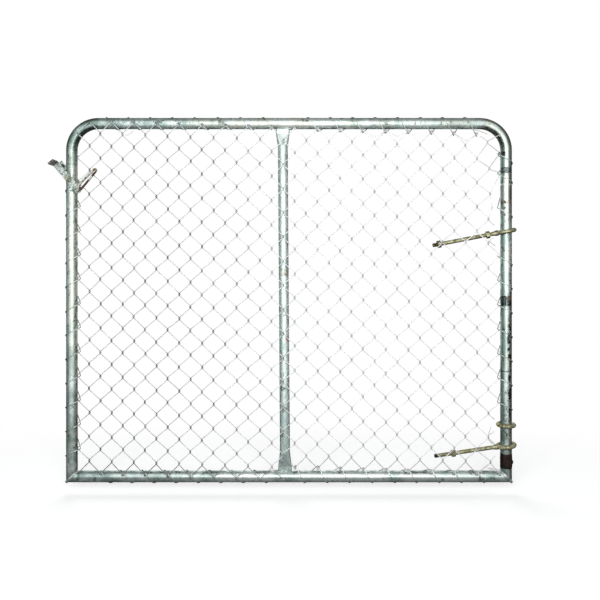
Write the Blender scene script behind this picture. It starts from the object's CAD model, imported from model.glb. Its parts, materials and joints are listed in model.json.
"""Looks of one leaf of a chain-link double gate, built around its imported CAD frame.

Metres, in the frame of the model: the Z axis is the axis of the hinge stile, z = 0 is the foot of the
frame, the leaf reaches towards -X and its front, where the mesh lies, faces -Y.
"""

import json
import math
import random

import bpy
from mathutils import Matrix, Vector


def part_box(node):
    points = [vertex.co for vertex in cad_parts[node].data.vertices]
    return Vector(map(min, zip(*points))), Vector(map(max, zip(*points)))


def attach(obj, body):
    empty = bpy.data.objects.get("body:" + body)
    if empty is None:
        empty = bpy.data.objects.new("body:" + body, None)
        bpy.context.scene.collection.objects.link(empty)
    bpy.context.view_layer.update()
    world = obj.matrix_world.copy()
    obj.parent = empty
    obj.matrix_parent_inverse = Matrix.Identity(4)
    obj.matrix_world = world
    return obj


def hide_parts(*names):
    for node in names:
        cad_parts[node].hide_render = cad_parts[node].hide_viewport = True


MM = 0.001

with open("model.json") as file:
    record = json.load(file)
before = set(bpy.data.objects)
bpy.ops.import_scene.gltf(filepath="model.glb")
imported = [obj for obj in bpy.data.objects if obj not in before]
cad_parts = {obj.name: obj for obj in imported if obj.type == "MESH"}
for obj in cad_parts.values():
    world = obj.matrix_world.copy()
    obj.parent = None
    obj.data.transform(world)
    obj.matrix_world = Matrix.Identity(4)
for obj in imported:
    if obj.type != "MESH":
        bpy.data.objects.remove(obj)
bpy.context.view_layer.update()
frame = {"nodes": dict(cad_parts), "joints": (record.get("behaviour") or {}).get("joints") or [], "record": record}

# ---- places, from the frame ----

leaf_low, leaf_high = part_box("bent_frame_tube")
rail_low, rail_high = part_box("bottom_rail")
TUBE_R = (rail_high.y - rail_low.y) / 2
LATCH_X = leaf_low.x + TUBE_R
TOP_Z = leaf_high.z - TUBE_R
RAIL_Z = TUBE_R
BEND_R = 80 * MM
mid_low, mid_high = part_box("middle_stile")
MID_FLAT_W = 41 * MM
MID_FLAT_T = 11 * MM
MID_TOP_X = mid_high.x - MID_FLAT_W / 2
MID_FOOT_X = mid_low.x + MID_FLAT_W / 2
STRAP_T = 5 * MM
FORK_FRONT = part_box("fork_front_strap")[1].y - STRAP_T
rivet_low, rivet_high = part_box("loop_rivet")
LOOP_PIVOT = ((rivet_low.x + rivet_high.x) / 2, 0, (rivet_low.z + rivet_high.z) / 2)
LOOP_TILT = math.radians(48)
stud_low, stud_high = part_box("fork_stud")
STUD = tuple((stud_low + stud_high) / 2)
TIP_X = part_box("upper_eye_bolt")[0].x

# Heights of the fork, the upper eye and the collar, and half the height of the leaf
LATCH_Z = 0.906
UPPER_EYE_Z = 0.752
COLLAR_Z = 0.172
HALF_HEIGHT = 0.55

# ---- the mesh's law, as in the CAD model ----

WIRE_R = 1.25 * MM
MESH_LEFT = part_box("mesh_left_bay")[0].x
MESH_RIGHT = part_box("mesh_right_bay")[1].x
MESH_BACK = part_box("mesh_left_bay")[1].y
HALF_H = 36 * MM
MESH_TOP = leaf_high.z - 13 * MM
MESH_SAG = 41 * MM
COLUMNS = 37
HALF_W = (MESH_RIGHT - MESH_LEFT) / COLUMNS
SPLIT = 18
LEFT_ROWS = 29
RIGHT_ROWS = 28

# Half the depth of the weave, and how far a bend reaches past its node
WEAVE = 1.35 * MM
HOOK = 1.75 * MM
HOOK_R = 3.6 * MM
MESH_MID = MESH_BACK + 0.1 * MM - WEAVE - WIRE_R


# ---- node helpers ----


class Nodes:
    """A node tree, built with short calls."""

    def __init__(self, tree):
        self.tree = tree

    def node(self, kind, inputs=None, **settings):
        made = self.tree.nodes.new(kind)
        for name, value in settings.items():
            setattr(made, name, value)
        for name, value in (inputs or {}).items():
            self.put(made.inputs[name], value)
        return made

    def put(self, socket, value):
        if isinstance(value, bpy.types.NodeSocket):
            self.tree.links.new(value, socket)
        elif socket.type == "RGBA":
            socket.default_value = (*value, 1.0)
        else:
            socket.default_value = value

    def math(self, operation, a, b=0.0, clamp=False):
        return self.node("ShaderNodeMath", {0: a, 1: b}, operation=operation, use_clamp=clamp).outputs[0]

    def times(self, *factors):
        """The product of sockets and numbers."""
        result = factors[0]
        for factor in factors[1:]:
            result = self.math("MULTIPLY", result, factor)
        return result

    def most(self, values):
        """The largest of some sockets."""
        result = values[0]
        for value in values[1:]:
            result = self.math("MAXIMUM", result, value)
        return result


class Material(Nodes):
    """A node material on one Principled shader."""

    def __init__(self, name):
        self.material = bpy.data.materials.new(name)
        self.material.use_nodes = True
        super().__init__(self.material.node_tree)
        self.shader = self.tree.nodes["Principled BSDF"]
        coordinates = self.node("ShaderNodeTexCoord").outputs
        self.place = coordinates["Object"]
        self.normal = coordinates["Normal"]
        self.shading = None

    def vector(self, operation, a, b=(0, 0, 0), output=0):
        return self.node("ShaderNodeVectorMath", {0: a, 1: b}, operation=operation).outputs[output]

    def noise(self, scale, detail=3.0, stretch=(1, 1, 1), shift=(0, 0, 0), rough=0.55):
        mapped = self.node("ShaderNodeMapping", {"Vector": self.place, "Scale": stretch, "Location": shift})
        inputs = {"Vector": mapped.outputs[0], "Scale": scale, "Detail": detail, "Roughness": rough}
        return self.node("ShaderNodeTexNoise", inputs).outputs[0]

    def cells(self, scale):
        """The crystals of hot-dip zinc: a colour for each cell."""
        return self.node("ShaderNodeTexVoronoi", {"Vector": self.place, "Scale": scale}).outputs["Color"]

    def ramp(self, value, low, high, start=0.0, end=1.0):
        """Goes softly from start to end as the value goes from low to high, and stays there beyond."""
        inputs = {"Value": value, "From Min": low, "From Max": high, "To Min": start, "To Max": end}
        return self.node("ShaderNodeMapRange", inputs, interpolation_type="SMOOTHSTEP").outputs[0]

    def mix(self, amount, a, b, blend="MIX"):
        """Colour a with b laid over it. A mix node's colours are its sockets 6 and 7, and its output 2."""
        made = self.node("ShaderNodeMix", {"Factor": amount}, data_type="RGBA", blend_type=blend)
        self.put(made.inputs[6], a)
        self.put(made.inputs[7], b)
        return made.outputs[2]

    def axis(self, name):
        return self.node("ShaderNodeSeparateXYZ", {0: self.place}).outputs[name]

    def along(self, origin, direction):
        """Distance from origin along a unit direction."""
        return self.vector("DOT_PRODUCT", self.vector("SUBTRACT", self.place, origin), direction, "Value")

    def facing(self, name):
        """How far the surface faces along an axis, from -1 to 1."""
        return self.node("ShaderNodeSeparateXYZ", {0: self.normal}).outputs[name]

    def sideways(self):
        """1 where the surface faces away from the front and the back, 0 where it faces them."""
        return self.ramp(self.math("ABSOLUTE", self.facing("Y")), 0.15, 0.85, 1.0, 0.0)

    def rubbed(self):
        """The share of grime that stays: less where the surface faces squarely sideways."""
        return self.ramp(self.sideways(), 0.57, 1.0, 1.0, 0.40)

    def leaning(self):
        """How far the surface faces the hinge side, from -1 to 1, with a border that wanders."""
        wander = self.math("SUBTRACT", self.noise(22, 4.0, (1, 1, 0.4), (0, 9, 0)), 0.5)
        return self.math("ADD", self.facing("X"), self.times(wander, 0.9))

    def between(self, value, low, high, soft):
        """1 where the value lies between low and high, with soft borders."""
        rise = self.ramp(value, low - soft, low + soft)
        fall = self.ramp(value, high - soft, high + soft, 1.0, 0.0)
        return self.times(rise, fall)

    def spot(self, centre, radii, edge=0.35):
        """1 inside an ellipsoid, falling to 0 at its edge."""
        scaled = self.vector("DIVIDE", self.vector("SUBTRACT", self.place, centre), radii)
        return self.ramp(self.vector("LENGTH", scaled, output="Value"), 1 - edge, 1 + edge, 1.0, 0.0)

    def spots(self, *places):
        return self.most([self.spot(centre, radii) for centre, radii in places])

    def towards(self, centre):
        """How far the surface faces a point, from -1 to 1."""
        way = self.vector("NORMALIZE", self.vector("SUBTRACT", centre, self.place))
        return self.vector("DOT_PRODUCT", way, self.normal, "Value")

    def bump(self, height, strength, distance):
        made = self.node("ShaderNodeBump", {"Height": height, "Strength": strength, "Distance": distance})
        if self.shading is not None:
            self.put(made.inputs["Normal"], self.shading)
        self.put(self.shader.inputs["Normal"], made.outputs[0])

    def finish(self, colour, roughness, metallic):
        self.put(self.shader.inputs["Base Color"], colour)
        self.put(self.shader.inputs["Roughness"], roughness)
        self.put(self.shader.inputs["Metallic"], metallic)
        return self.material


PALE_ZINC = (0.86, 0.95, 0.92)
DULL_ZINC = (0.50, 0.62, 0.58)
WARM_ZINC = (0.80, 0.79, 0.66)
TEAL_ZINC = (0.30, 0.46, 0.42)
OLIVE_ZINC = (0.44, 0.45, 0.35)
GREEN_GRIME = (0.05, 0.08, 0.065)
GRIME = (0.03, 0.035, 0.03)
OLIVE_GRIME = (0.10, 0.11, 0.06)
TARNISH = (0.36, 0.45, 0.44)
RUST = (0.20, 0.085, 0.035)
DARK_RUST = (0.045, 0.022, 0.016)


def zinc_colour(m, warm, dirty=1.0):
    """Cloudy galvanised zinc, weathered cool on its left and warm on its right, with grime and tarnish."""
    side = m.sideways()
    leaning = m.leaning()
    clouds = m.ramp(m.noise(30, 5.0, (0.8, 1, 0.6)), 0.30, 0.56)
    base = m.mix(clouds, DULL_ZINC, PALE_ZINC)
    base = m.mix(m.times(m.ramp(m.noise(9, 2.0, shift=(3, 1, 2)), 0.42, 0.62), warm), base, WARM_ZINC)
    base = m.mix(0.10, base, m.cells(210), "OVERLAY")
    rubbed = m.rubbed()
    base = m.mix(m.times(m.ramp(leaning, 0.35, 0.85, 0.0, 0.74 * dirty), rubbed), base, OLIVE_ZINC)
    base = m.mix(m.times(m.ramp(leaning, -0.25, -0.75, 0.0, 0.80 * dirty), rubbed), base, TEAL_ZINC)
    base = m.mix(m.ramp(side, 0.55, 1.0, 0.0, 0.25 * dirty), base, GREEN_GRIME)

    # Tarnish about the four corners of the frame
    tarnish = m.most([
        m.spot((LATCH_X, 0.0, TOP_Z), (0.36, 0.3, 0.16), 0.75),
        m.times(m.spot((LATCH_X, 0.0, RAIL_Z), (0.34, 0.3, 0.34), 0.75), 0.75),
        m.times(m.spot((0.0, 0.0, TOP_Z), (0.36, 0.3, 0.12), 0.75), 0.45),
        m.times(m.spot((0.0, 0.0, RAIL_Z), (0.10, 0.3, 0.46), 0.75), 0.40),
    ])
    patchy = m.ramp(m.noise(36, 4.0, shift=(7, 0, 3)), 0.38, 0.58, 0.35, 1.0)
    base = m.mix(m.times(tarnish, patchy), base, TARNISH, "MULTIPLY")

    dirt = m.math("ADD", m.noise(75, 5.0, (0.8, 1, 0.6), (5, 0, 0), 0.65), m.times(side, 0.12))
    base = m.mix(m.times(m.ramp(dirt, 0.57, 0.68), 0.75), base, GREEN_GRIME)
    pits = m.ramp(m.noise(330, 2.0, shift=(0, 4, 0)), 0.64, 0.72)
    return m.mix(m.times(pits, 0.5), base, GRIME)


def finish_zinc(m, colour, metallic=0.7):
    """The gloss and fine grain of all the zinc tubes and their lacing. Reflections darken at a glance."""
    roughness = m.ramp(m.noise(45, 3.0), 0.3, 0.7, 0.22, 0.36)
    grain = m.math("ADD", m.noise(380, 3.0), m.times(m.noise(60, 3.0), 1.5))
    m.bump(grain, 0.22, 0.0005)
    m.put(m.shader.inputs["Specular Tint"], (0.30, 0.36, 0.33))
    return m.finish(colour, roughness, metallic)


def frame_material():
    """The bent tube: galvanised, with the rings, drips and rust of the hinge stile."""
    m = Material("galvanised_frame")
    x = m.axis("X")
    wobble = m.times(m.math("SUBTRACT", m.noise(60, 3.0), 0.5), 0.008)
    height = m.math("ADD", m.axis("Z"), wobble)
    hinge_side = m.ramp(x, -0.03, -0.02)
    latch_side = m.ramp(x, LATCH_X + 0.02, LATCH_X + 0.03, 1.0, 0.0)
    speckle = m.ramp(m.noise(140, 4.0, shift=(0, 0, 7)), 0.46, 0.60)
    blotch = m.ramp(m.noise(190, 3.0, shift=(4, 0, 0)), 0.38, 0.58)

    colour = zinc_colour(m, 0.5)

    # The hinge stile is dirtier down both its sides, and the bends inside and outside
    leaning = m.leaning()
    sides = m.math("ADD", m.ramp(leaning, 0.02, 0.42, 0.0, 0.60), m.ramp(leaning, -0.25, -0.65, 0.0, 0.25))
    soiled = m.math("SUBTRACT", hinge_side, m.between(height, 0.57, 0.77, 0.02), clamp=True)
    colour = m.mix(m.times(sides, soiled, m.rubbed()), colour, GREEN_GRIME)
    for centre_x, ahead in ((LATCH_X + BEND_R, -1), (-BEND_R, 1)):
        centre = (centre_x, 0.0, TOP_Z - BEND_R)
        outwards = m.times(m.math("SUBTRACT", x, centre_x), ahead)
        above = m.ramp(m.axis("Z"), centre[2] - 0.02, centre[2] + 0.02)
        bent = m.times(m.ramp(outwards, -0.02, 0.02), above)
        inward = m.towards(centre)
        inner = m.times(m.ramp(inward, 0.10, 0.50), m.ramp(blotch, 0.0, 1.0, 0.70, 1.0), bent)
        outer = m.times(m.ramp(inward, -0.45, -0.80), m.ramp(blotch, 0.0, 1.0, 0.50, 0.90), bent)
        colour = m.mix(outer, m.mix(inner, colour, GRIME), OLIVE_GRIME)

    # Rings: on the hinge stile one of old grey binding, a pale line, a dark ring and a thin line, and a
    # faint one on the latch stile
    for stile, strength, low, high, soft, ring_colour in (
        (hinge_side, m.ramp(blotch, 0.0, 1.0, 0.45, 0.95), 0.925, 0.943, 0.002, (0.07, 0.085, 0.09)),
        (hinge_side, 0.7, 0.889, 0.894, 0.001, (0.86, 0.86, 0.80)),
        (hinge_side, m.ramp(blotch, 0.0, 1.0, 0.72, 1.0), 0.529, 0.559, 0.002, (0.030, 0.038, 0.034)),
        (hinge_side, 0.9, 0.3325, 0.3355, 0.001, GRIME),
        (latch_side, 0.45, 0.950, 0.954, 0.002, GRIME),
    ):
        colour = m.mix(m.times(stile, strength, m.between(height, low, high, soft)), colour, ring_colour)

    # Drips, blots and dots of dirt on the hinge stile, and one dot on the latch stile
    drips = m.spots(
        ((0.011, -0.010, 0.225), (0.008, 0.02, 0.085)),
        ((-0.006, -0.016, 0.205), (0.007, 0.02, 0.022)),
        ((0.012, -0.008, 0.600), (0.006, 0.02, 0.16)),
        ((0.000, -0.017, 0.148), (0.016, 0.02, 0.014)),
    )
    colour = m.mix(m.times(drips, speckle, 0.95), colour, GRIME)
    blots = m.spots(
        ((0.006, -0.013, 0.415), (0.008, 0.02, 0.080)),
        ((0.008, -0.012, 0.285), (0.008, 0.02, 0.105)),
    )
    blots = m.times(blots, m.ramp(m.noise(120, 3.0, (1, 1, 0.7), (0, 3, 0)), 0.49, 0.53))
    colour = m.mix(m.times(blots, 0.95), colour, (0.012, 0.018, 0.015))
    dots = m.spots(
        ((-0.008, -0.015, 0.822), (0.0035, 0.01, 0.004)),
        ((-0.008, -0.015, 0.801), (0.003, 0.01, 0.004)),
        ((0.006, -0.015, 0.905), (0.0035, 0.01, 0.009)),
        ((LATCH_X + 0.004, -0.017, 0.873), (0.004, 0.01, 0.004)),
    )
    colour = m.mix(m.times(dots, 0.8), colour, GREEN_GRIME)

    # Rust on the hinge stile, and a brown edge above it
    rust = m.spots(
        ((-0.0115, -0.013, 0.839), (0.011, 0.02, 0.0045)),
        ((0.0105, -0.012, 0.841), (0.008, 0.02, 0.0065)),
        ((0.011, -0.010, 0.553), (0.009, 0.02, 0.011)),
    )
    brown_edge = m.spot((0.0135, -0.006, 0.860), (0.009, 0.02, 0.032))
    brown_edge = m.times(brown_edge, m.ramp(blotch, 0.0, 1.0, 0.55, 0.95))
    colour = m.mix(brown_edge, colour, (0.075, 0.065, 0.025))
    rust = m.times(rust, m.ramp(speckle, 0.0, 0.6, 0.60, 1.0))
    colour = m.mix(m.times(rust, 0.95), colour, m.mix(blotch, (0.16, 0.10, 0.03), DARK_RUST))
    return finish_zinc(m, colour, m.times(m.math("SUBTRACT", 1.0, rust), 0.7))


def rail_material():
    """The bottom rail, cleaner than the stiles."""
    m = Material("galvanised_rail")
    return finish_zinc(m, zinc_colour(m, 0.1, 0.6))


def lacing_material(name, on_stiles):
    """Lacing wire, weathered as the tube under it is: its grime and gloss follow the tube's roundness."""
    m = Material(name)
    if on_stiles:
        middle = m.times(m.math("LESS_THAN", m.axis("X"), LATCH_X / 2), LATCH_X)
        off = m.node("ShaderNodeCombineXYZ", {0: m.math("SUBTRACT", m.axis("X"), middle), 1: m.axis("Y")})
    else:
        upper = m.times(m.math("GREATER_THAN", m.axis("Z"), TOP_Z / 2), TOP_Z - RAIL_Z)
        height = m.math("SUBTRACT", m.math("SUBTRACT", m.axis("Z"), RAIL_Z), upper)
        off = m.node("ShaderNodeCombineXYZ", {1: m.axis("Y"), 2: height})
    outward = m.vector("NORMALIZE", off.outputs[0])
    tube_share = m.node("ShaderNodeVectorMath", {0: outward, "Scale": 1.4}, operation="SCALE").outputs[0]
    both = m.vector("ADD", tube_share, m.normal)
    m.shading = m.node(
        "ShaderNodeVectorTransform",
        {0: m.vector("NORMALIZE", both)},
        vector_type="NORMAL",
        convert_from="OBJECT",
        convert_to="WORLD",
    ).outputs[0]
    m.normal = outward
    return finish_zinc(m, m.mix(0.12, zinc_colour(m, 0.3), (0.20, 0.24, 0.22)))


def middle_material():
    """The middle stile: galvanised, with rust on its upper half and a bright front and foot."""
    m = Material("galvanised_middle")
    colour = zinc_colour(m, 0.15, 0.55)
    side = MID_TOP_X + 0.012
    streak = m.spots(
        ((side, -0.010, 0.855), (0.007, 0.015, 0.030)),
        ((side, -0.010, 0.722), (0.006, 0.015, 0.010)),
        ((MID_TOP_X, -0.015, 0.63), (0.020, 0.02, 0.012)),
    )
    rust = m.times(streak, m.ramp(m.noise(150, 3.0, (1, 1, 0.4)), 0.42, 0.58))
    colour = m.mix(m.times(rust, 0.85), colour, RUST)
    fleck = m.spot((MID_TOP_X + 0.0070, -0.012, 0.429), (0.0060, 0.02, 0.009), 0.6)
    fleck = m.times(fleck, m.ramp(m.noise(260, 2.0), 0.34, 0.50))
    colour = m.mix(m.times(fleck, 0.95), colour, (0.42, 0.10, 0.03))

    # Its front is brighter, most of all on the foot, with dark spots where the mesh rubs
    bright = m.ramp(m.axis("Z"), 0.30, 0.10, 0.25, 0.80)
    bright = m.times(bright, m.ramp(m.sideways(), 0.2, 0.5, 1.0, 0.0))
    bright = m.times(bright, m.ramp(m.noise(90, 4.0), 0.30, 0.60, 0.45, 1.0))
    colour = m.mix(bright, colour, (0.78, 1.0, 0.96))
    marks = m.spots(
        ((MID_FOOT_X - 0.002, -0.015, 0.282), (0.012, 0.02, 0.007)),
        ((MID_FOOT_X + 0.006, -0.015, 0.218), (0.009, 0.02, 0.009)),
        ((MID_FOOT_X - 0.004, -0.015, 0.146), (0.011, 0.02, 0.008)),
    )
    marks = m.times(marks, m.ramp(m.noise(170, 3.0, shift=(2, 0, 0)), 0.36, 0.56))
    colour = m.mix(m.times(marks, 0.8), colour, GREEN_GRIME)
    return finish_zinc(m, colour)


def weld_material():
    """Weld metal touched up with bright zinc."""
    m = Material("weld_metal")
    blotch = m.ramp(m.noise(180, 3.0), 0.40, 0.62)
    colour = m.mix(blotch, (0.72, 0.80, 0.78), (0.30, 0.33, 0.31))
    m.bump(m.noise(500, 2.0), 0.3, 0.0004)
    return m.finish(colour, 0.38, 0.7)


def wire_material():
    """Galvanised wire: pale on its legs, dark and dirty where the wires rub, greyer towards the latch."""
    m = Material("mesh_wire")
    worn = m.node("ShaderNodeAttribute", attribute_name="wear").outputs["Fac"]
    shade = m.ramp(m.noise(14, 2.0), 0.35, 0.65)
    to_latch = m.ramp(m.axis("X"), -0.45, LATCH_X + 0.2)
    tone = m.math("ADD", m.times(shade, 0.30), m.times(to_latch, 0.60), clamp=True)
    colour = m.mix(tone, (0.97, 0.98, 0.98), (0.52, 0.54, 0.55))
    patches = m.times(m.ramp(m.noise(420, 2.0), 0.60, 0.72), 0.35)
    colour = m.mix(patches, colour, (0.22, 0.23, 0.23))
    worn = m.times(worn, m.ramp(to_latch, 0.0, 1.0, 0.58, 1.0))
    grime = m.times(worn, m.ramp(m.noise(60, 2.0, shift=(2, 2, 2)), 0.30, 0.55, 0.60, 1.0))
    corner = m.times(m.spot((-0.030, 0.0, 0.985), (0.07, 0.05, 0.08), 0.5), 0.50)
    colour = m.mix(m.math("MAXIMUM", grime, corner, clamp=True), colour, (0.07, 0.07, 0.07))
    m.bump(m.noise(900, 2.0), 0.15, 0.0002)
    return m.finish(colour, 0.5, 0.1)


def hinge_material():
    """Yellow-passivated zinc gone olive, rubbed pale along its middle, dark and rusty towards the tips."""
    m = Material("tinted_zinc")
    clouds = m.ramp(m.noise(70, 4.0), 0.36, 0.64)
    colour = m.mix(clouds, (0.20, 0.19, 0.08), (0.52, 0.50, 0.32))
    bloom = m.times(m.ramp(m.noise(90, 3.0, shift=(6, 0, 0)), 0.48, 0.64), 0.6)
    colour = m.mix(bloom, colour, (0.74, 0.74, 0.62))
    patches = m.times(m.ramp(m.noise(210, 3.0), 0.58, 0.70), 0.6)
    colour = m.mix(patches, colour, (0.07, 0.06, 0.04))
    colour = m.mix(m.ramp(m.facing("Z"), -0.25, -0.75, 0.0, 0.75), colour, (0.05, 0.045, 0.02))
    wander = m.times(m.noise(120, 2.0), 0.010)
    tips = m.ramp(m.math("ADD", m.axis("X"), wander), TIP_X + 0.026, TIP_X + 0.016)
    worn = m.ramp(m.noise(160, 3.0), 0.52, 0.66)
    tip_colour = m.mix(worn, (0.018, 0.015, 0.012), (0.22, 0.20, 0.14))
    colour = m.mix(m.times(tips, 0.95), colour, tip_colour)
    m.bump(m.noise(500, 3.0), 0.25, 0.0004)
    m.put(m.shader.inputs["Specular Tint"], (0.30, 0.30, 0.22))
    return m.finish(colour, m.ramp(m.noise(90, 2.0), 0.3, 0.7, 0.28, 0.48), 0.6)


def strap_material():
    """The fork's straps: mottled zinc with dark spots where it has worn through, and a bare, brown tab."""
    m = Material("mottled_zinc")
    clouds = m.ramp(m.noise(110, 4.0), 0.38, 0.60)
    colour = m.mix(clouds, (0.25, 0.30, 0.27), (0.60, 0.67, 0.63))
    spots = m.times(m.ramp(m.noise(190, 3.0, shift=(1, 5, 0)), 0.60, 0.68), 0.85)
    colour = m.mix(spots, colour, (0.06, 0.055, 0.045))
    stained = m.times(m.spot(STUD, (0.009, 0.02, 0.007), 0.4), 0.9)
    colour = m.mix(stained, colour, (0.02, 0.02, 0.018))
    tab = m.ramp(m.axis("Y"), FORK_FRONT - 3 * MM, FORK_FRONT - 1 * MM, 1.0, 0.0)
    cloudy = m.ramp(m.noise(130, 3.0, shift=(2, 0, 0)), 0.4, 0.6)
    bare = m.mix(cloudy, (0.055, 0.035, 0.033), (0.13, 0.10, 0.095))
    colour = m.mix(m.times(tab, 0.92), colour, bare)
    m.bump(m.noise(420, 3.0), 0.35, 0.0006)
    return m.finish(colour, 0.52, 0.5)


def bolt_material():
    """The latch bolt, its nut and the loop's rivet: dull green-grey zinc with dark spots."""
    m = Material("dull_green_zinc")
    clouds = m.ramp(m.noise(160, 4.0), 0.40, 0.62)
    colour = m.mix(clouds, (0.13, 0.15, 0.10), (0.38, 0.42, 0.34))
    spots = m.times(m.ramp(m.noise(260, 3.0, shift=(0, 3, 0)), 0.58, 0.66), 0.85)
    colour = m.mix(spots, colour, (0.04, 0.035, 0.03))
    m.bump(m.noise(420, 3.0), 0.35, 0.0005)
    return m.finish(colour, 0.45, 0.5)


def loop_material():
    """The loop's rod: worn pale on its upper arm, rusty brown on its lower arm and olive at its tip."""
    m = Material("worn_rod")
    way = m.along(LOOP_PIVOT, (math.cos(LOOP_TILT), 0, math.sin(LOOP_TILT)))
    up = m.along(LOOP_PIVOT, (-math.sin(LOOP_TILT), 0, math.cos(LOOP_TILT)))
    rough = m.noise(150, 4.0)
    rust = m.mix(m.ramp(rough, 0.38, 0.62), DARK_RUST, (0.10, 0.055, 0.034))
    pale = m.mix(m.ramp(rough, 0.34, 0.56), (0.10, 0.10, 0.08), (0.56, 0.57, 0.50))
    olive = m.mix(m.ramp(rough, 0.38, 0.58), (0.07, 0.06, 0.03), (0.40, 0.37, 0.17))
    streak = m.times(m.between(way, 0.040, 0.066, 0.004), m.ramp(m.noise(70, 2.0), 0.45, 0.55))
    worn = m.math("MAXIMUM", m.ramp(up, 0.0, 0.001), streak)
    colour = m.mix(worn, rust, pale)
    colour = m.mix(m.ramp(way, 0.070, 0.078), colour, olive)
    colour = m.mix(m.ramp(m.sideways(), 0.02, 0.40, 0.0, 0.90), colour, (0.03, 0.028, 0.022))
    m.bump(m.noise(500, 3.0), 0.45, 0.0006)
    return m.finish(colour, 0.6, 0.3)


def stud_material():
    """The stud's head: old rust gone almost black."""
    m = Material("black_stud")
    colour = m.mix(m.ramp(m.noise(150, 4.0), 0.40, 0.66), (0.012, 0.011, 0.010), (0.06, 0.035, 0.025))
    m.bump(m.noise(500, 3.0), 0.45, 0.0006)
    return m.finish(colour, 0.6, 0.2)


def tie_material():
    """Black annealed wire."""
    m = Material("black_wire")
    colour = m.mix(m.ramp(m.noise(200, 3.0), 0.45, 0.65), (0.010, 0.010, 0.010), (0.05, 0.045, 0.04))
    m.bump(m.noise(700, 2.0), 0.2, 0.0002)
    return m.finish(colour, 0.55, 0.2)


def tape_material():
    """The dark band round the foot of the hinge stile: black tape, weathered brown in places."""
    m = Material("dark_tape")
    brown = m.times(m.ramp(m.noise(55, 3.0), 0.36, 0.56), m.ramp(m.sideways(), 0.02, 0.25, 1.0, 0.0))
    colour = m.mix(brown, (0.0045, 0.0045, 0.0045), (0.026, 0.015, 0.0125))
    m.bump(m.noise(160, 4.0, (0.5, 0.5, 2.0)), 0.35, 0.0006)
    m.put(m.shader.inputs["Specular IOR Level"], 0.2)
    return m.finish(colour, m.ramp(m.noise(70, 2.0), 0.3, 0.7, 0.45, 0.7), 0.0)


# ---- mesh helpers ----


def add_object(name, data):
    made = bpy.data.objects.new(name, data)
    bpy.context.scene.collection.objects.link(made)
    return made


def add_piece(name, verts, faces, material, body, stands_for=(), wear=None):
    """A smooth-shaded mesh piece that rides on a body."""
    mesh = bpy.data.meshes.new(name)
    mesh.from_pydata(verts, [], faces)
    mesh.polygons.foreach_set("use_smooth", [True] * len(mesh.polygons))
    if wear is not None:
        mesh.attributes.new("wear", "FLOAT", "POINT").data.foreach_set("value", wear)
    mesh.materials.append(material)
    mesh.validate()
    piece = add_object(name, mesh)
    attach(piece, body)
    if stands_for:
        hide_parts(*stands_for)
    return piece


def circle(count):
    """The cosine and the sine of each equal step round a circle."""
    angles = [2 * math.pi * i / count for i in range(count)]
    return [(math.cos(angle), math.sin(angle)) for angle in angles]


def band(a, b, sides):
    """The faces between two rings of points, which begin at the numbers a and b."""
    return [(a + k, a + (k + 1) % sides, b + (k + 1) % sides, b + k) for k in range(sides)]


class Wires:
    """Round wires swept along paths, joined into one mesh. Each path point is (place, radius, wear)."""

    def __init__(self, sides):
        self.sides = sides
        self.verts, self.faces, self.wear = [], [], []

    def add(self, path, closed=False):
        points = [p[0] for p in path]
        count = len(points)
        first = len(self.verts)
        normal = None
        for i in range(count):
            if closed:
                ahead = points[(i + 1) % count] - points[i - 1]
            else:
                ahead = points[min(i + 1, count - 1)] - points[max(i - 1, 0)]
            ahead.normalize()
            if normal is None:
                normal = ahead.orthogonal().normalized()
            normal = (normal - ahead * normal.dot(ahead)).normalized()
            across = ahead.cross(normal)
            for u, v in circle(self.sides):
                self.verts.append(points[i] + (normal * u + across * v) * path[i][1])
                self.wear.append(path[i][2])
        rings = count if closed else count - 1
        for i in range(rings):
            self.faces += band(first + i * self.sides, first + (i + 1) % count * self.sides, self.sides)
        if not closed:
            self.faces.append(tuple(first + k for k in reversed(range(self.sides))))
            last = first + (count - 1) * self.sides
            self.faces.append(tuple(last + k for k in range(self.sides)))

    def make(self, name, material, body, slot, stands_for=()):
        return add_piece(name, self.verts, self.faces, material, body, stands_for, self.wear)


def smooth(points, steps):
    """Points of a soft curve through the given ones."""
    ends = [points[0] * 2 - points[1], *points, points[-1] * 2 - points[-2]]
    result = []
    for i in range(len(points) - 1):
        a, b, c, d = ends[i : i + 4]
        slope, curve, twist = c - a, 2 * a - 5 * b + 4 * c - d, 3 * b - a - 3 * c + d
        for k in range(steps):
            t = k / steps
            result.append(0.5 * (2 * b + slope * t + curve * t**2 + twist * t**3))
    result.append(points[-1].copy())
    return result


def wire_path(points, radius=WIRE_R, wear=0.0):
    return [(p, radius, wear) for p in points]


# ---- the woven mesh ----

# Nodes that have been pulled out of line, by column and row, and how far along X and Z in millimetres
PULLED = {
    (36, 1): (-3, 12),
    (37, 2): (-2, 16),
    (36, 3): (4, 7),
    (37, 4): (0, 30),
    (36, 5): (5, 4),
    (37, 6): (-24, 0),
    (7, 1): (-6, -8),
    (36, 27): (6, -2),
}


def node_jitter(column, row):
    """A small offset of a node, the same each run."""
    draw = random.Random(column * 101 + row)
    return draw.uniform(-1, 1) * MM, draw.uniform(-1, 1) * MM


def node_place(column, row):
    dx, dz = node_jitter(column, row)
    pull = PULLED.get((column, row), (0, 0))
    # The left bay hangs a little towards the latch
    lean = -5 * MM * math.sin(math.pi * min(column, SPLIT) / SPLIT)
    x = MESH_LEFT + column * HALF_W + (lean if column < SPLIT else 0)
    z = MESH_TOP - row * HALF_H - MESH_SAG * column / COLUMNS
    return x + dx + pull[0] * MM, z + dz + pull[1] * MM


def leg_slope():
    """Angle of a leg below level that meets the bends at its ends without a kink."""
    slope = math.pi / 4
    for _ in range(20):
        turn = math.pi / 2 - slope
        rise = HALF_H - 2 * HOOK_R * math.sin(turn)
        run = HALF_W + 2 * HOOK - 2 * HOOK_R * (1 - math.cos(turn))
        slope = math.atan2(rise, run)
    return slope


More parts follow.
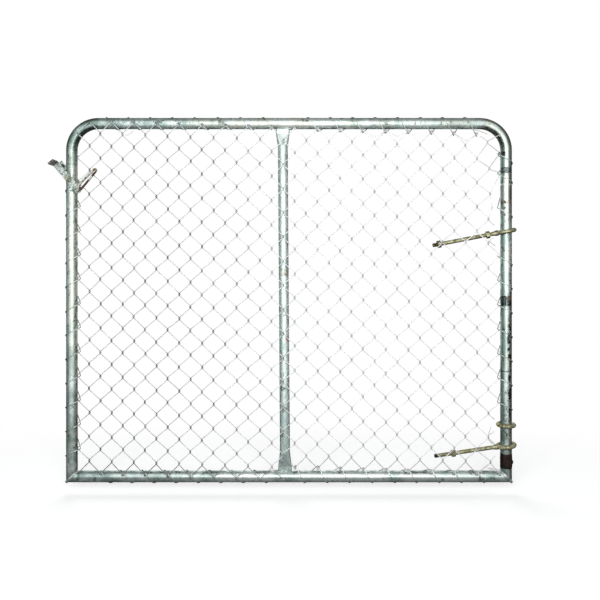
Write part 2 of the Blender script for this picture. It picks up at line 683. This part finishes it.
# How far a bend turns to each side of its middle
TURN = math.pi / 2 - leg_slope()
BEND_STEPS = 6

# Where the mesh is cut back beside the hinge stile: its reach, and the heights at the eyes and the collar
CUT_REACH = 38 * MM
CUTS = ((0.080, 0.190), (0.728, 0.776))


def bend(column, row, side):
    """The bend of a wire round its neighbour: side is 1 for a bend to the right, from front to back."""
    x, z = node_place(column, row)
    path = []
    for i in range(BEND_STEPS + 1):
        share = 2 * i / BEND_STEPS - 1
        angle = share * TURN
        place = Vector((
            x + side * (HOOK - HOOK_R * (1 - math.cos(angle))),
            MESH_MID + side * WEAVE * math.sin(share * math.pi / 2),
            z - HOOK_R * math.sin(angle),
        ))
        path.append((place, WIRE_R, 0.85 + 0.15 * math.cos(angle)))
    return path


def knuckle(column, row, side, up):
    """The end of a wire, folded over its neighbour at the mesh's edge. Its points run outwards."""
    x, z = node_place(column, row)
    leg = side if up > 0 else -side
    near = MESH_MID + leg * WEAVE
    far = MESH_MID - leg * WEAVE
    places = [
        (side * HOOK * 0.2, near, 1.5),
        (side * HOOK * 0.9, near, 3.6),
        (side * HOOK * 1.3, (near + far) / 2, 5.6),
        (side * HOOK * 1.4, far, 3.6),
        (side * HOOK * 0.9, far, -1.0),
        (-side * HOOK * 0.5, far - 0.2 * MM, -4.5),
    ]
    points = [Vector((x + px, y, z + up * pz * MM)) for px, y, pz in places]
    return [(p, WIRE_R, 0.85) for p in smooth(points, 3)]


def link_wire(k, rows):
    """The path of one wire, winding from column k to column k + 1 and back, from the top row down."""
    path = []
    draw = random.Random(k)
    for row in range(rows + 1):
        to_right = (k + row) % 2 == 0
        side = 1 if to_right else -1
        column = k + 1 if to_right else k
        if row == 0:
            path += reversed(knuckle(column, row, side, 1))
            continue
        if row == rows:
            path += knuckle(column, row, side, -1)
            continue
        piece = bend(column, row, side)
        start, end = path[-1][0], piece[0][0]
        for share in (0.12, 0.5, 0.88):
            bow = Vector((draw.uniform(-0.5, 0.5) * MM, 0, draw.uniform(-0.5, 0.5) * MM))
            place = start.lerp(end, share)
            if share == 0.5:
                place += bow
            path.append((place, WIRE_R, 0.25 if share != 0.5 else 0.0))
        path += piece
    return path


def in_hinge_relief(place):
    """True beside the hinge stile where the mesh is cut back for the eyes and the collar."""
    return place.x > -CUT_REACH and any(low < place.z < high for low, high in CUTS)


def cut_for_hinges(path):
    """The stretches of a path outside the places where the mesh is cut back."""
    pieces, run = [], []
    for point in path:
        if in_hinge_relief(point[0]):
            if len(run) > 2:
                pieces.append(run)
            run = []
        else:
            run.append(point)
    if len(run) > 2:
        pieces.append(run)
    return pieces


def inside_bend(place):
    """True where a point of the mesh lies under or inside the tube's rounded top corners."""
    for centre_x, sign in ((LATCH_X + BEND_R, -1), (-BEND_R, 1)):
        off_x, off_z = (place.x - centre_x) * sign, place.z - (TOP_Z - BEND_R)
        if off_x > 0 and off_z > 0 and math.hypot(off_x, off_z) > BEND_R + 3 * MM:
            return False
    return True


def mesh_bay(name, first, last, rows, material):
    wires = Wires(8)
    for k in range(first, last):
        path = [point for point in link_wire(k, rows) if inside_bend(point[0])]
        for piece in cut_for_hinges(path):
            wires.add(piece)
    return wires.make(name + "_wires", material, "leaf", "mesh_wire", [name])


# ---- lacing ----

LACE_GAP = 0.2 * MM
LACE_BEND = WIRE_R + 2.9 * MM
LACE_R = TUBE_R + LACE_GAP + WIRE_R
RAIL_RUN = 34 * MM
STILE_RUN = 33 * MM
CROOK_STEPS = 4
ROUND_STEPS = 14
LAST_TURN_POINTS = 12
EDGE_REACH = TUBE_R + 8 * MM

# How far the lacing stays from the middle stile's ends, the fork, the upper eye and the collar
MID_ZONE = 27 * MM
FORK_GAP = 11 * MM
FORK_DROP = 13 * MM
EYE_GAP = 20 * MM
COLLAR_GAP = 12 * MM


def lace_turn(height, reach, next_height, run):
    """Points of one turn of a lacing wire round a tube on the Z axis, with the mesh towards +X."""
    cx, cy = reach + 1.8 * WIRE_R, MESH_MID
    aim = math.atan2(cy, cx)
    spread = math.acos((LACE_R - LACE_BEND) / math.hypot(cx, cy))
    flat = []
    for i in range(CROOK_STEPS + 1):
        angle = aim + spread * (1 - 2 * i / CROOK_STEPS)
        flat.append((cx + LACE_BEND * math.cos(angle), cy + LACE_BEND * math.sin(angle)))
    way_round = 2 * math.pi - 2 * spread
    for i in range(ROUND_STEPS + 1):
        angle = aim - spread - way_round * i / ROUND_STEPS
        flat.append((LACE_R * math.cos(angle), LACE_R * math.sin(angle)))
    flat.append((cx + LACE_BEND * math.cos(aim + spread), cy + LACE_BEND * math.sin(aim + spread)))
    lengths = [0.0]
    for a, b in zip(flat, flat[1:]):
        lengths.append(lengths[-1] + math.dist(a, b))
    half = lengths[-1] / 2
    points = []
    for (x, y), length in zip(flat[:-1], lengths):
        way = length / half
        if way < 1:
            z = height - run * way
        else:
            z = height - run - (height - run - next_height) * (way - 1)
        points.append((x, y, z))
    return points


def lacing_path(nodes, run, to_frame):
    """The whole wire through the given (height, reach) nodes. The last turn ends on the far side."""
    points = []
    for node, following in zip(nodes, nodes[1:]):
        points += lace_turn(node[0], node[1], following[0], run)
    height, reach = nodes[-1]
    points += lace_turn(height, reach, height - 2 * run, run)[:LAST_TURN_POINTS]
    return [(to_frame(*p), WIRE_R, 0.35) for p in points]


def lacing(nodes, spans, run, to_frame):
    """The lacing of one tube: a wire for each span from low to high, through the nodes inside it."""
    wires = Wires(8)
    for low, high in spans:
        inside = [node for node in nodes if low < node[0] < high]
        if len(inside) > 1:
            wires.add(lacing_path(inside, run, to_frame))
    return wires


def top_lacing():
    places = [node_place(column, 0) for column in range(COLUMNS - 1, 0, -1) if column % 2 == 1]
    nodes = [(x, TOP_Z - z) for x, z in places]
    left_span = (LATCH_X + BEND_R + RAIL_RUN, MID_TOP_X - MID_ZONE)
    right_span = (MID_TOP_X + MID_ZONE + RAIL_RUN, -BEND_R)
    return lacing(nodes, (left_span, right_span), RAIL_RUN, lambda x, y, z: Vector((z, y, TOP_Z - x)))


def bottom_lacing():
    nodes = []
    for column in range(1, COLUMNS):
        rows = LEFT_ROWS if column < SPLIT else RIGHT_ROWS
        x, z = node_place(column, rows)
        if (column + rows) % 2 == 1:
            nodes.append((-x, z - RAIL_Z))
    right_span = (2 * TUBE_R + RAIL_RUN, -MID_FOOT_X - MID_ZONE)
    left_span = (-MID_FOOT_X + MID_ZONE + RAIL_RUN, -LATCH_X - 2 * TUBE_R)
    return lacing(nodes, (right_span, left_span), RAIL_RUN, lambda x, y, z: Vector((-z, y, RAIL_Z + x)))


def side_lacing(column, rows, spans, to_frame):
    nodes = [(node_place(column, row)[1], EDGE_REACH) for row in range(rows + 1) if (row + column) % 2 == 1]
    return lacing(nodes, spans, STILE_RUN, to_frame)


def latch_side_lacing():
    spans = [(4 * TUBE_R + STILE_RUN, LATCH_Z - FORK_GAP + FORK_DROP)]
    return side_lacing(0, LEFT_ROWS, spans, lambda x, y, z: Vector((LATCH_X + x, y, z)))


def hinge_side_lacing():
    lower_span = (COLLAR_Z + COLLAR_GAP + STILE_RUN, UPPER_EYE_Z - EYE_GAP)
    upper_span = (UPPER_EYE_Z + EYE_GAP + STILE_RUN, TOP_Z - BEND_R)
    return side_lacing(COLUMNS, RIGHT_ROWS, (lower_span, upper_span), lambda x, y, z: Vector((-x, y, z)))


def in_front(points):
    """A soft curve through points given as (x, z) in millimetres, laid just in front of the mesh."""
    front = MESH_MID - 2 * WEAVE - WIRE_R
    return smooth([Vector((x * MM, front, z * MM)) for x, z in points], 4)


# Slack wires under the top rail: the column where each begins, and its drop in millimetres
SLACK_WIRES = ((25, 16), (27, 13), (33, 19))

# A slack end under the top rail near the latch, as (x, z) in millimetres
SLACK_END = [(-1158, 1050), (-1146, 1040), (-1131, 1037), (-1114, 1048)]

# Ends and bits of wire beside the hinge stile, as (x, z) in millimetres
WIRE_BITS = (
    [(-110, 1053), (-90, 1050), (-63, 1040)],
    [(-52, 171), (-58, 152), (-59, 134), (-48, 121)],
    [(-60, 723), (-50, 716), (-39, 708)],
    [(-62, 49), (-45, 44), (-26, 37)],
    [(-57, 50), (-42, 46), (-30, 41), (-22, 42)],
    [(-40, 40), (-33, 46), (-25, 43), (-28, 36), (-35, 37)],
)


def loose_wires():
    """Slack wires that hang in a V under the top rail, and bits of wire beside the hinge stile."""
    wires = Wires(8)
    for column, drop in SLACK_WIRES:
        (x0, z0), (x1, z1) = node_place(column, 0), node_place(column + 2, 0)
        low = min(z0, z1) - drop * MM
        corners = [(x0, z0), (x0 + 0.30 * (x1 - x0), z0 + 0.62 * (low - z0)), ((x0 + x1) / 2, low)]
        corners += [(x0 + 0.70 * (x1 - x0), z1 + 0.62 * (low - z1)), (x1, z1)]
        wires.add(wire_path(in_front([(x / MM, z / MM) for x, z in corners]), WIRE_R * 0.8, 0.1))
    wires.add(wire_path(in_front(SLACK_END), WIRE_R * 0.8))
    for bit in WIRE_BITS:
        wires.add(wire_path(in_front(bit), WIRE_R * 0.9, 0.7))
    return wires


def dark_tie():
    """A knot of black wire with its loop, on the first edge node below the hinge corner."""
    wires = Wires(8)
    x, z = node_place(COLUMNS, 2)
    centre = Vector((x + 11 * MM, MESH_BACK - 3.5 * MM, z))
    knot = []
    for i in range(150):
        angle = i * 0.36
        swing = angle + 0.9 * math.sin(0.43 * angle)
        off = Vector((4.6 * math.sin(0.29 * angle), 2.3 * math.sin(swing), 4.8 * math.cos(swing))) * MM
        knot.append(centre + off)
    wires.add(wire_path(knot, WIRE_R * 0.85))
    ring = []
    for u, v in circle(16):
        ring.append(Vector((x + 2.5 * MM * u, MESH_BACK - 5.5 * MM, z - 3 * MM + 7 * MM * v)))
    wires.add(wire_path(ring, WIRE_R * 0.8), closed=True)
    return wires


# ---- the band of tape ----


def tape_band(material):
    """A band of tape wound round the foot of the hinge stile, with its end folded into a lump outside."""
    low, high = 43 * MM, 87 * MM
    lump_z, lump_half_height, lump_half_angle = 60 * MM, 11 * MM, 0.30
    sides, rings = 96, 15
    verts, faces = [], []
    for i in range(rings):
        share = i / (rings - 1)
        for k in range(sides):
            angle = 2 * math.pi * k / sides
            wave = math.sin(3 * angle + 1) + 0.6 * math.sin(7 * angle)
            z = low + share * (high - low) + wave * 0.5 * MM * math.cos(math.pi * share)
            turned = math.atan2(math.sin(angle), math.cos(angle))
            from_lump = math.hypot(turned / lump_half_angle, (z - lump_z) / lump_half_height)
            lump = 4.0 * MM * max(0.0, 1 - from_lump**2) ** 1.5
            fold = 0.25 * MM * math.sin(20 * share + 2 * math.sin(angle))
            edge = 0.0 if i in (0, rings - 1) else 0.7 * MM
            radius = TUBE_R + 0.05 * MM + edge + (lump + fold if edge else 0.0)
            verts.append((radius * math.cos(angle), radius * math.sin(angle), z))
    for i in range(rings - 1):
        faces += band(i * sides, (i + 1) * sides, sides)
    return add_piece("tape_band", verts, faces, material, "leaf")


# ---- welds ----


def bead(name, paths, width, height, material, stands_for):
    """Weld beads along closed paths of (place, outwards, ripple): round ridges with the pool's ripples."""
    verts, faces = [], []
    sides = 10
    for path in paths:
        count = len(path)
        first = len(verts)
        draw = random.Random(len(verts))
        for i, (place, out, ripple) in enumerate(path):
            ahead = (path[(i + 1) % count][0] - path[i - 1][0]).normalized()
            across = ahead.cross(out).normalized()
            swell = 1 + 0.06 * math.sin(ripple) + draw.uniform(-0.06, 0.06)
            for u, v in circle(sides):
                verts.append(place + (across * u * width / 2 + out * v * height) * swell)
        for i in range(count):
            faces += band(first + i * sides, first + (i + 1) % count * sides, sides)
    return add_piece(name, verts, faces, material, "leaf", stands_for)


def corner_bead_path(x, sign):
    """Points round the mitre at x, where the rail runs away towards sign."""
    path = []
    for i, (u, v) in enumerate(circle(132)):
        place = Vector((x - sign * TUBE_R * u, TUBE_R * v, RAIL_Z - TUBE_R * u))
        out = Vector((-sign * u, 2 * v, -u)).normalized()
        path.append((place, out, i * 2 * math.pi / 3))
    return path


def stile_bead_path(x, z, up):
    """Points round the flattened end of the middle stile, on the rail at height z."""
    path = []
    for i, (u, v) in enumerate(circle(96)):
        px = (MID_FLAT_W / 2 + 1 * MM) * math.copysign(abs(u) ** 0.6, u)
        py = (MID_FLAT_T / 2 + 1 * MM) * math.copysign(abs(v) ** 0.8, v)
        rise = math.sqrt(TUBE_R**2 - py**2)
        place = Vector((x + px, py, z + up * rise))
        out = Vector((0.6 * u, 0.6 * v + py / TUBE_R, up * 0.8)).normalized()
        path.append((place, out, i * 2 * math.pi / 3))
    return path


# ---- threads and forged necks of the eye-bolts ----

THREAD_PITCH = 1.75 * MM

# The forged neck, as its distance from the eye's centre and its radius there in millimetres
NECK = ((20, 6.2), (23, 7.6), (26, 8.4), (29, 8.6), (32, 8.2), (35, 7.4), (38, 6.7), (42, 6.2), (46, 6.02))


def thread(name, start, direction, length, mean_r, body, material):
    """A round-crested thread, wound on a bolt from start along a unit direction."""
    across = direction.orthogonal().normalized()
    other = direction.cross(across)
    steps = 20
    count = int(length / THREAD_PITCH * steps)
    path = []
    for i in range(count + 1):
        angle = 2 * math.pi * i / steps
        fade = min(1.0, i / steps, (count - i) / steps)
        off = across * math.cos(angle) + other * math.sin(angle)
        crest = mean_r - (1 - fade) * THREAD_PITCH * 0.3
        path.append(start + direction * (THREAD_PITCH * i / steps) + off * crest)
    wires = Wires(6)
    wires.add(wire_path(path, THREAD_PITCH * 0.34))
    return wires.make(name, material, body, "hinge_zinc")


def eye_bolt_details(name, body, material):
    """The rolled thread at the end of an eye-bolt, and the forged neck where its shank leaves the eye."""
    end = next(m for m in frame["record"]["mounts"] if m["name"] == name + "_shank_end")
    eye = next(j for j in frame["joints"] if j["child"] == body)
    direction = Vector(end["axis"]).normalized()
    length = end["dims"]["length_mm"] * MM
    start = Vector(end["pos_m"]) - direction * (length / 2)
    mean_r = end["dims"]["r_mm"] * MM
    thread(name + "_thread", start, direction, length - 1 * MM, mean_r, body, material)
    neck = Wires(24)
    centre = Vector(eye["pos_m"])
    neck.add([(centre + direction * far * MM, radius * MM, 0.0) for far, radius in NECK])
    neck.make(name + "_neck", material, body, "hinge_zinc")


# ---- stage ----


def seen_ray(nodes):
    """1 for rays that show the backdrop: from the camera, or by way of gloss or glass."""
    rays = nodes.node("ShaderNodeLightPath").outputs
    return nodes.most([rays["Is Camera Ray"], rays["Is Glossy Ray"], rays["Is Transmission Ray"]])


def make_sheet(name, corners, material):
    """A flat piece of the set, which is no part of the object."""
    mesh = bpy.data.meshes.new(name)
    mesh.from_pydata(corners, [], [(0, 1, 2, 3)])
    mesh.materials.append(material)
    sheet = add_object(name, mesh)
    return sheet


def make_floor():
    """A pale floor. It keeps the object's shadow near the gate and fades to plain white further off."""
    m = Material("floor")
    diffuse = m.node("ShaderNodeBsdfDiffuse", {"Color": (0.66, 0.67, 0.67)}).outputs[0]
    lift = m.node("ShaderNodeEmission", {"Strength": 0.55}).outputs[0]
    white = m.node("ShaderNodeEmission", {"Strength": 1.0}).outputs[0]
    near = m.node("ShaderNodeAddShader", {0: diffuse, 1: lift}).outputs[0]
    far = m.vector("LENGTH", m.vector("MULTIPLY", m.place, (0.6, 1.4, 1.0)), output="Value")
    shown = m.node("ShaderNodeMixShader", {0: m.ramp(far, 0.5, 1.3), 1: near, 2: white}).outputs[0]
    shader = m.node("ShaderNodeMixShader", {0: seen_ray(m), 1: diffuse, 2: shown}).outputs[0]
    m.put(m.tree.nodes["Material Output"].inputs[0], shader)
    reach = 30.0
    corners = [(-reach, -reach, 0), (reach, -reach, 0), (reach, reach, 0), (-reach, reach, 0)]
    floor = make_sheet("floor", corners, m.material)
    floor.location = (LATCH_X / 2, 0, -0.03)


def make_flag(name, corners):
    """A dark screen beside the set, out of the camera's sight, which gives the tubes their dark edges."""
    m = Material(name)
    flag = make_sheet(name, corners, m.finish((0.03, 0.03, 0.03), 1.0, 0.0))
    flag.visible_camera = False
    flag.visible_shadow = False


def make_world():
    """Soft fill light, behind a backdrop that is seen as plain white."""
    world = bpy.data.worlds.new("studio")
    bpy.context.scene.world = world
    world.use_nodes = True
    world.node_tree.nodes.clear()
    nodes = Nodes(world.node_tree)
    fill = nodes.node("ShaderNodeBackground", {"Color": (0.95, 0.98, 1.0), "Strength": 0.16}).outputs[0]
    white = nodes.node("ShaderNodeBackground", {"Color": (1, 1, 1), "Strength": 1.0}).outputs[0]
    shader = nodes.node("ShaderNodeMixShader", {0: seen_ray(nodes), 1: fill, 2: white}).outputs[0]
    nodes.node("ShaderNodeOutputWorld", {0: shader})


def make_lamp(name, place, target, size, power, in_gloss=False):
    """A rectangular lamp at a place, turned to a target. Only some lamps show in reflections."""
    light = bpy.data.lights.new(name, "AREA")
    light.shape = "RECTANGLE"
    light.size, light.size_y = size
    light.energy = power
    lamp = add_object(name, light)
    lamp.location = place
    lamp.rotation_euler = (Vector(target) - Vector(place)).to_track_quat("-Z", "Y").to_euler()
    lamp.visible_glossy = in_gloss


def make_camera():
    """A camera level and square to the leaf. Its shifts are shares of the picture's width."""
    data = bpy.data.cameras.new("camera")
    data.sensor_width = 36.0
    data.lens = 42.0
    data.shift_x = 11 / 600
    data.shift_y = -50 / 600
    camera = add_object("camera", data)
    camera.location = (-0.65115, -2.1, 0.696)
    camera.rotation_euler = (math.pi / 2, 0, 0)
    bpy.context.scene.camera = camera


# ---- build ----

make_camera()
make_world()
make_floor()
middle_x = LATCH_X / 2
centre = (middle_x, 0, HALF_HEIGHT)
make_lamp("key", (middle_x - 0.3, -3.0, 1.5), centre, (2.4, 1.6), 100)
make_lamp("sheen", (middle_x + 0.2, -3.0, 0.9), centre, (1.3, 1.3), 15, in_gloss=True)
make_lamp("back", (middle_x - 0.6, 2.6, 2.6), centre, (2.4, 1.6), 55)
make_lamp("back_sheen", (middle_x - 0.3, 3.0, 0.9), centre, (2.2, 2.2), 16, in_gloss=True)
for name, away, x in (("side_left", -2.2, LATCH_X), ("side_right", 2.2, 0.0)):
    make_lamp(name, (x + away, 0.0, 1.0), (x, 0, HALF_HEIGHT), (1.6, 1.6), 18, in_gloss=True)
for name, x in (("flag_left", LATCH_X - 1.0), ("flag_right", 1.0)):
    make_flag(name, [(x, -1.3, -0.02), (x, 1.3, -0.02), (x, 1.3, 2.6), (x, -1.3, 2.6)])
for name, z in (("flag_top", 2.1), ("flag_low", -0.025)):
    make_flag(name, [(-2.3, -1.0, z), (1.0, -1.0, z), (1.0, 1.2, z), (-2.3, 1.2, z)])
bpy.context.scene.view_settings.view_transform = "Standard"

weld_finish = weld_material()
mesh_finish = wire_material()
rail_lace_finish = lacing_material("rail_lacing_zinc", False)
stile_lace_finish = lacing_material("stile_lacing_zinc", True)
hinge_finish = hinge_material()
strap_finish = strap_material()
bolt_finish = bolt_material()

# The finish of each CAD node. The rest are hinge parts
FINISHES = {
    "bent_frame_tube": frame_material(),
    "bottom_rail": rail_material(),
    "middle_stile": middle_material(),
    "fork_stud": stud_material(),
    "latch_loop": loop_material(),
    **dict.fromkeys(("corner_weld_beads", "middle_stile_weld_beads"), weld_finish),
    **dict.fromkeys(("mesh_left_bay", "mesh_right_bay"), mesh_finish),
    **dict.fromkeys(("top_lacing", "bottom_lacing"), rail_lace_finish),
    **dict.fromkeys(("latch_side_lacing", "hinge_side_lacing"), stile_lace_finish),
    **dict.fromkeys(("fork_front_strap", "fork_back_strap", "latch_spacers"), strap_finish),
    **dict.fromkeys(("loop_rivet", "latch_bolt", "latch_bolt_nut"), bolt_finish),
}
for name, node_object in frame["nodes"].items():
    node_object.data.materials.clear()
    node_object.data.materials.append(FINISHES.get(name, hinge_finish))

mesh_bay("mesh_left_bay", 0, SPLIT, LEFT_ROWS, mesh_finish)
mesh_bay("mesh_right_bay", SPLIT, COLUMNS, RIGHT_ROWS, mesh_finish)
for name, lace, finish in (
    ("top_lacing", top_lacing, rail_lace_finish),
    ("bottom_lacing", bottom_lacing, rail_lace_finish),
    ("latch_side_lacing", latch_side_lacing, stile_lace_finish),
    ("hinge_side_lacing", hinge_side_lacing, stile_lace_finish),
):
    lace().make(name + "_wire", finish, "leaf", "mesh_wire", [name])
loose_wires().make("loose_wires", mesh_finish, "leaf", "mesh_wire")
dark_tie().make("dark_tie", tie_material(), "leaf", "mesh_wire")
tape_band(tape_material())
eye_bolt_details("upper", "upper_hinge", hinge_finish)
eye_bolt_details("lower", "lower_hinge", hinge_finish)

corner_beads = [corner_bead_path(0, -1), corner_bead_path(LATCH_X, 1)]
stile_beads = [stile_bead_path(MID_FOOT_X, RAIL_Z, 1), stile_bead_path(MID_TOP_X, TOP_Z, -1)]
bead("corner_welds", corner_beads, 8 * MM, 1.6 * MM, weld_finish, ["corner_weld_beads"])
bead("middle_stile_welds", stile_beads, 6 * MM, 2.2 * MM, weld_finish, ["middle_stile_weld_beads"])
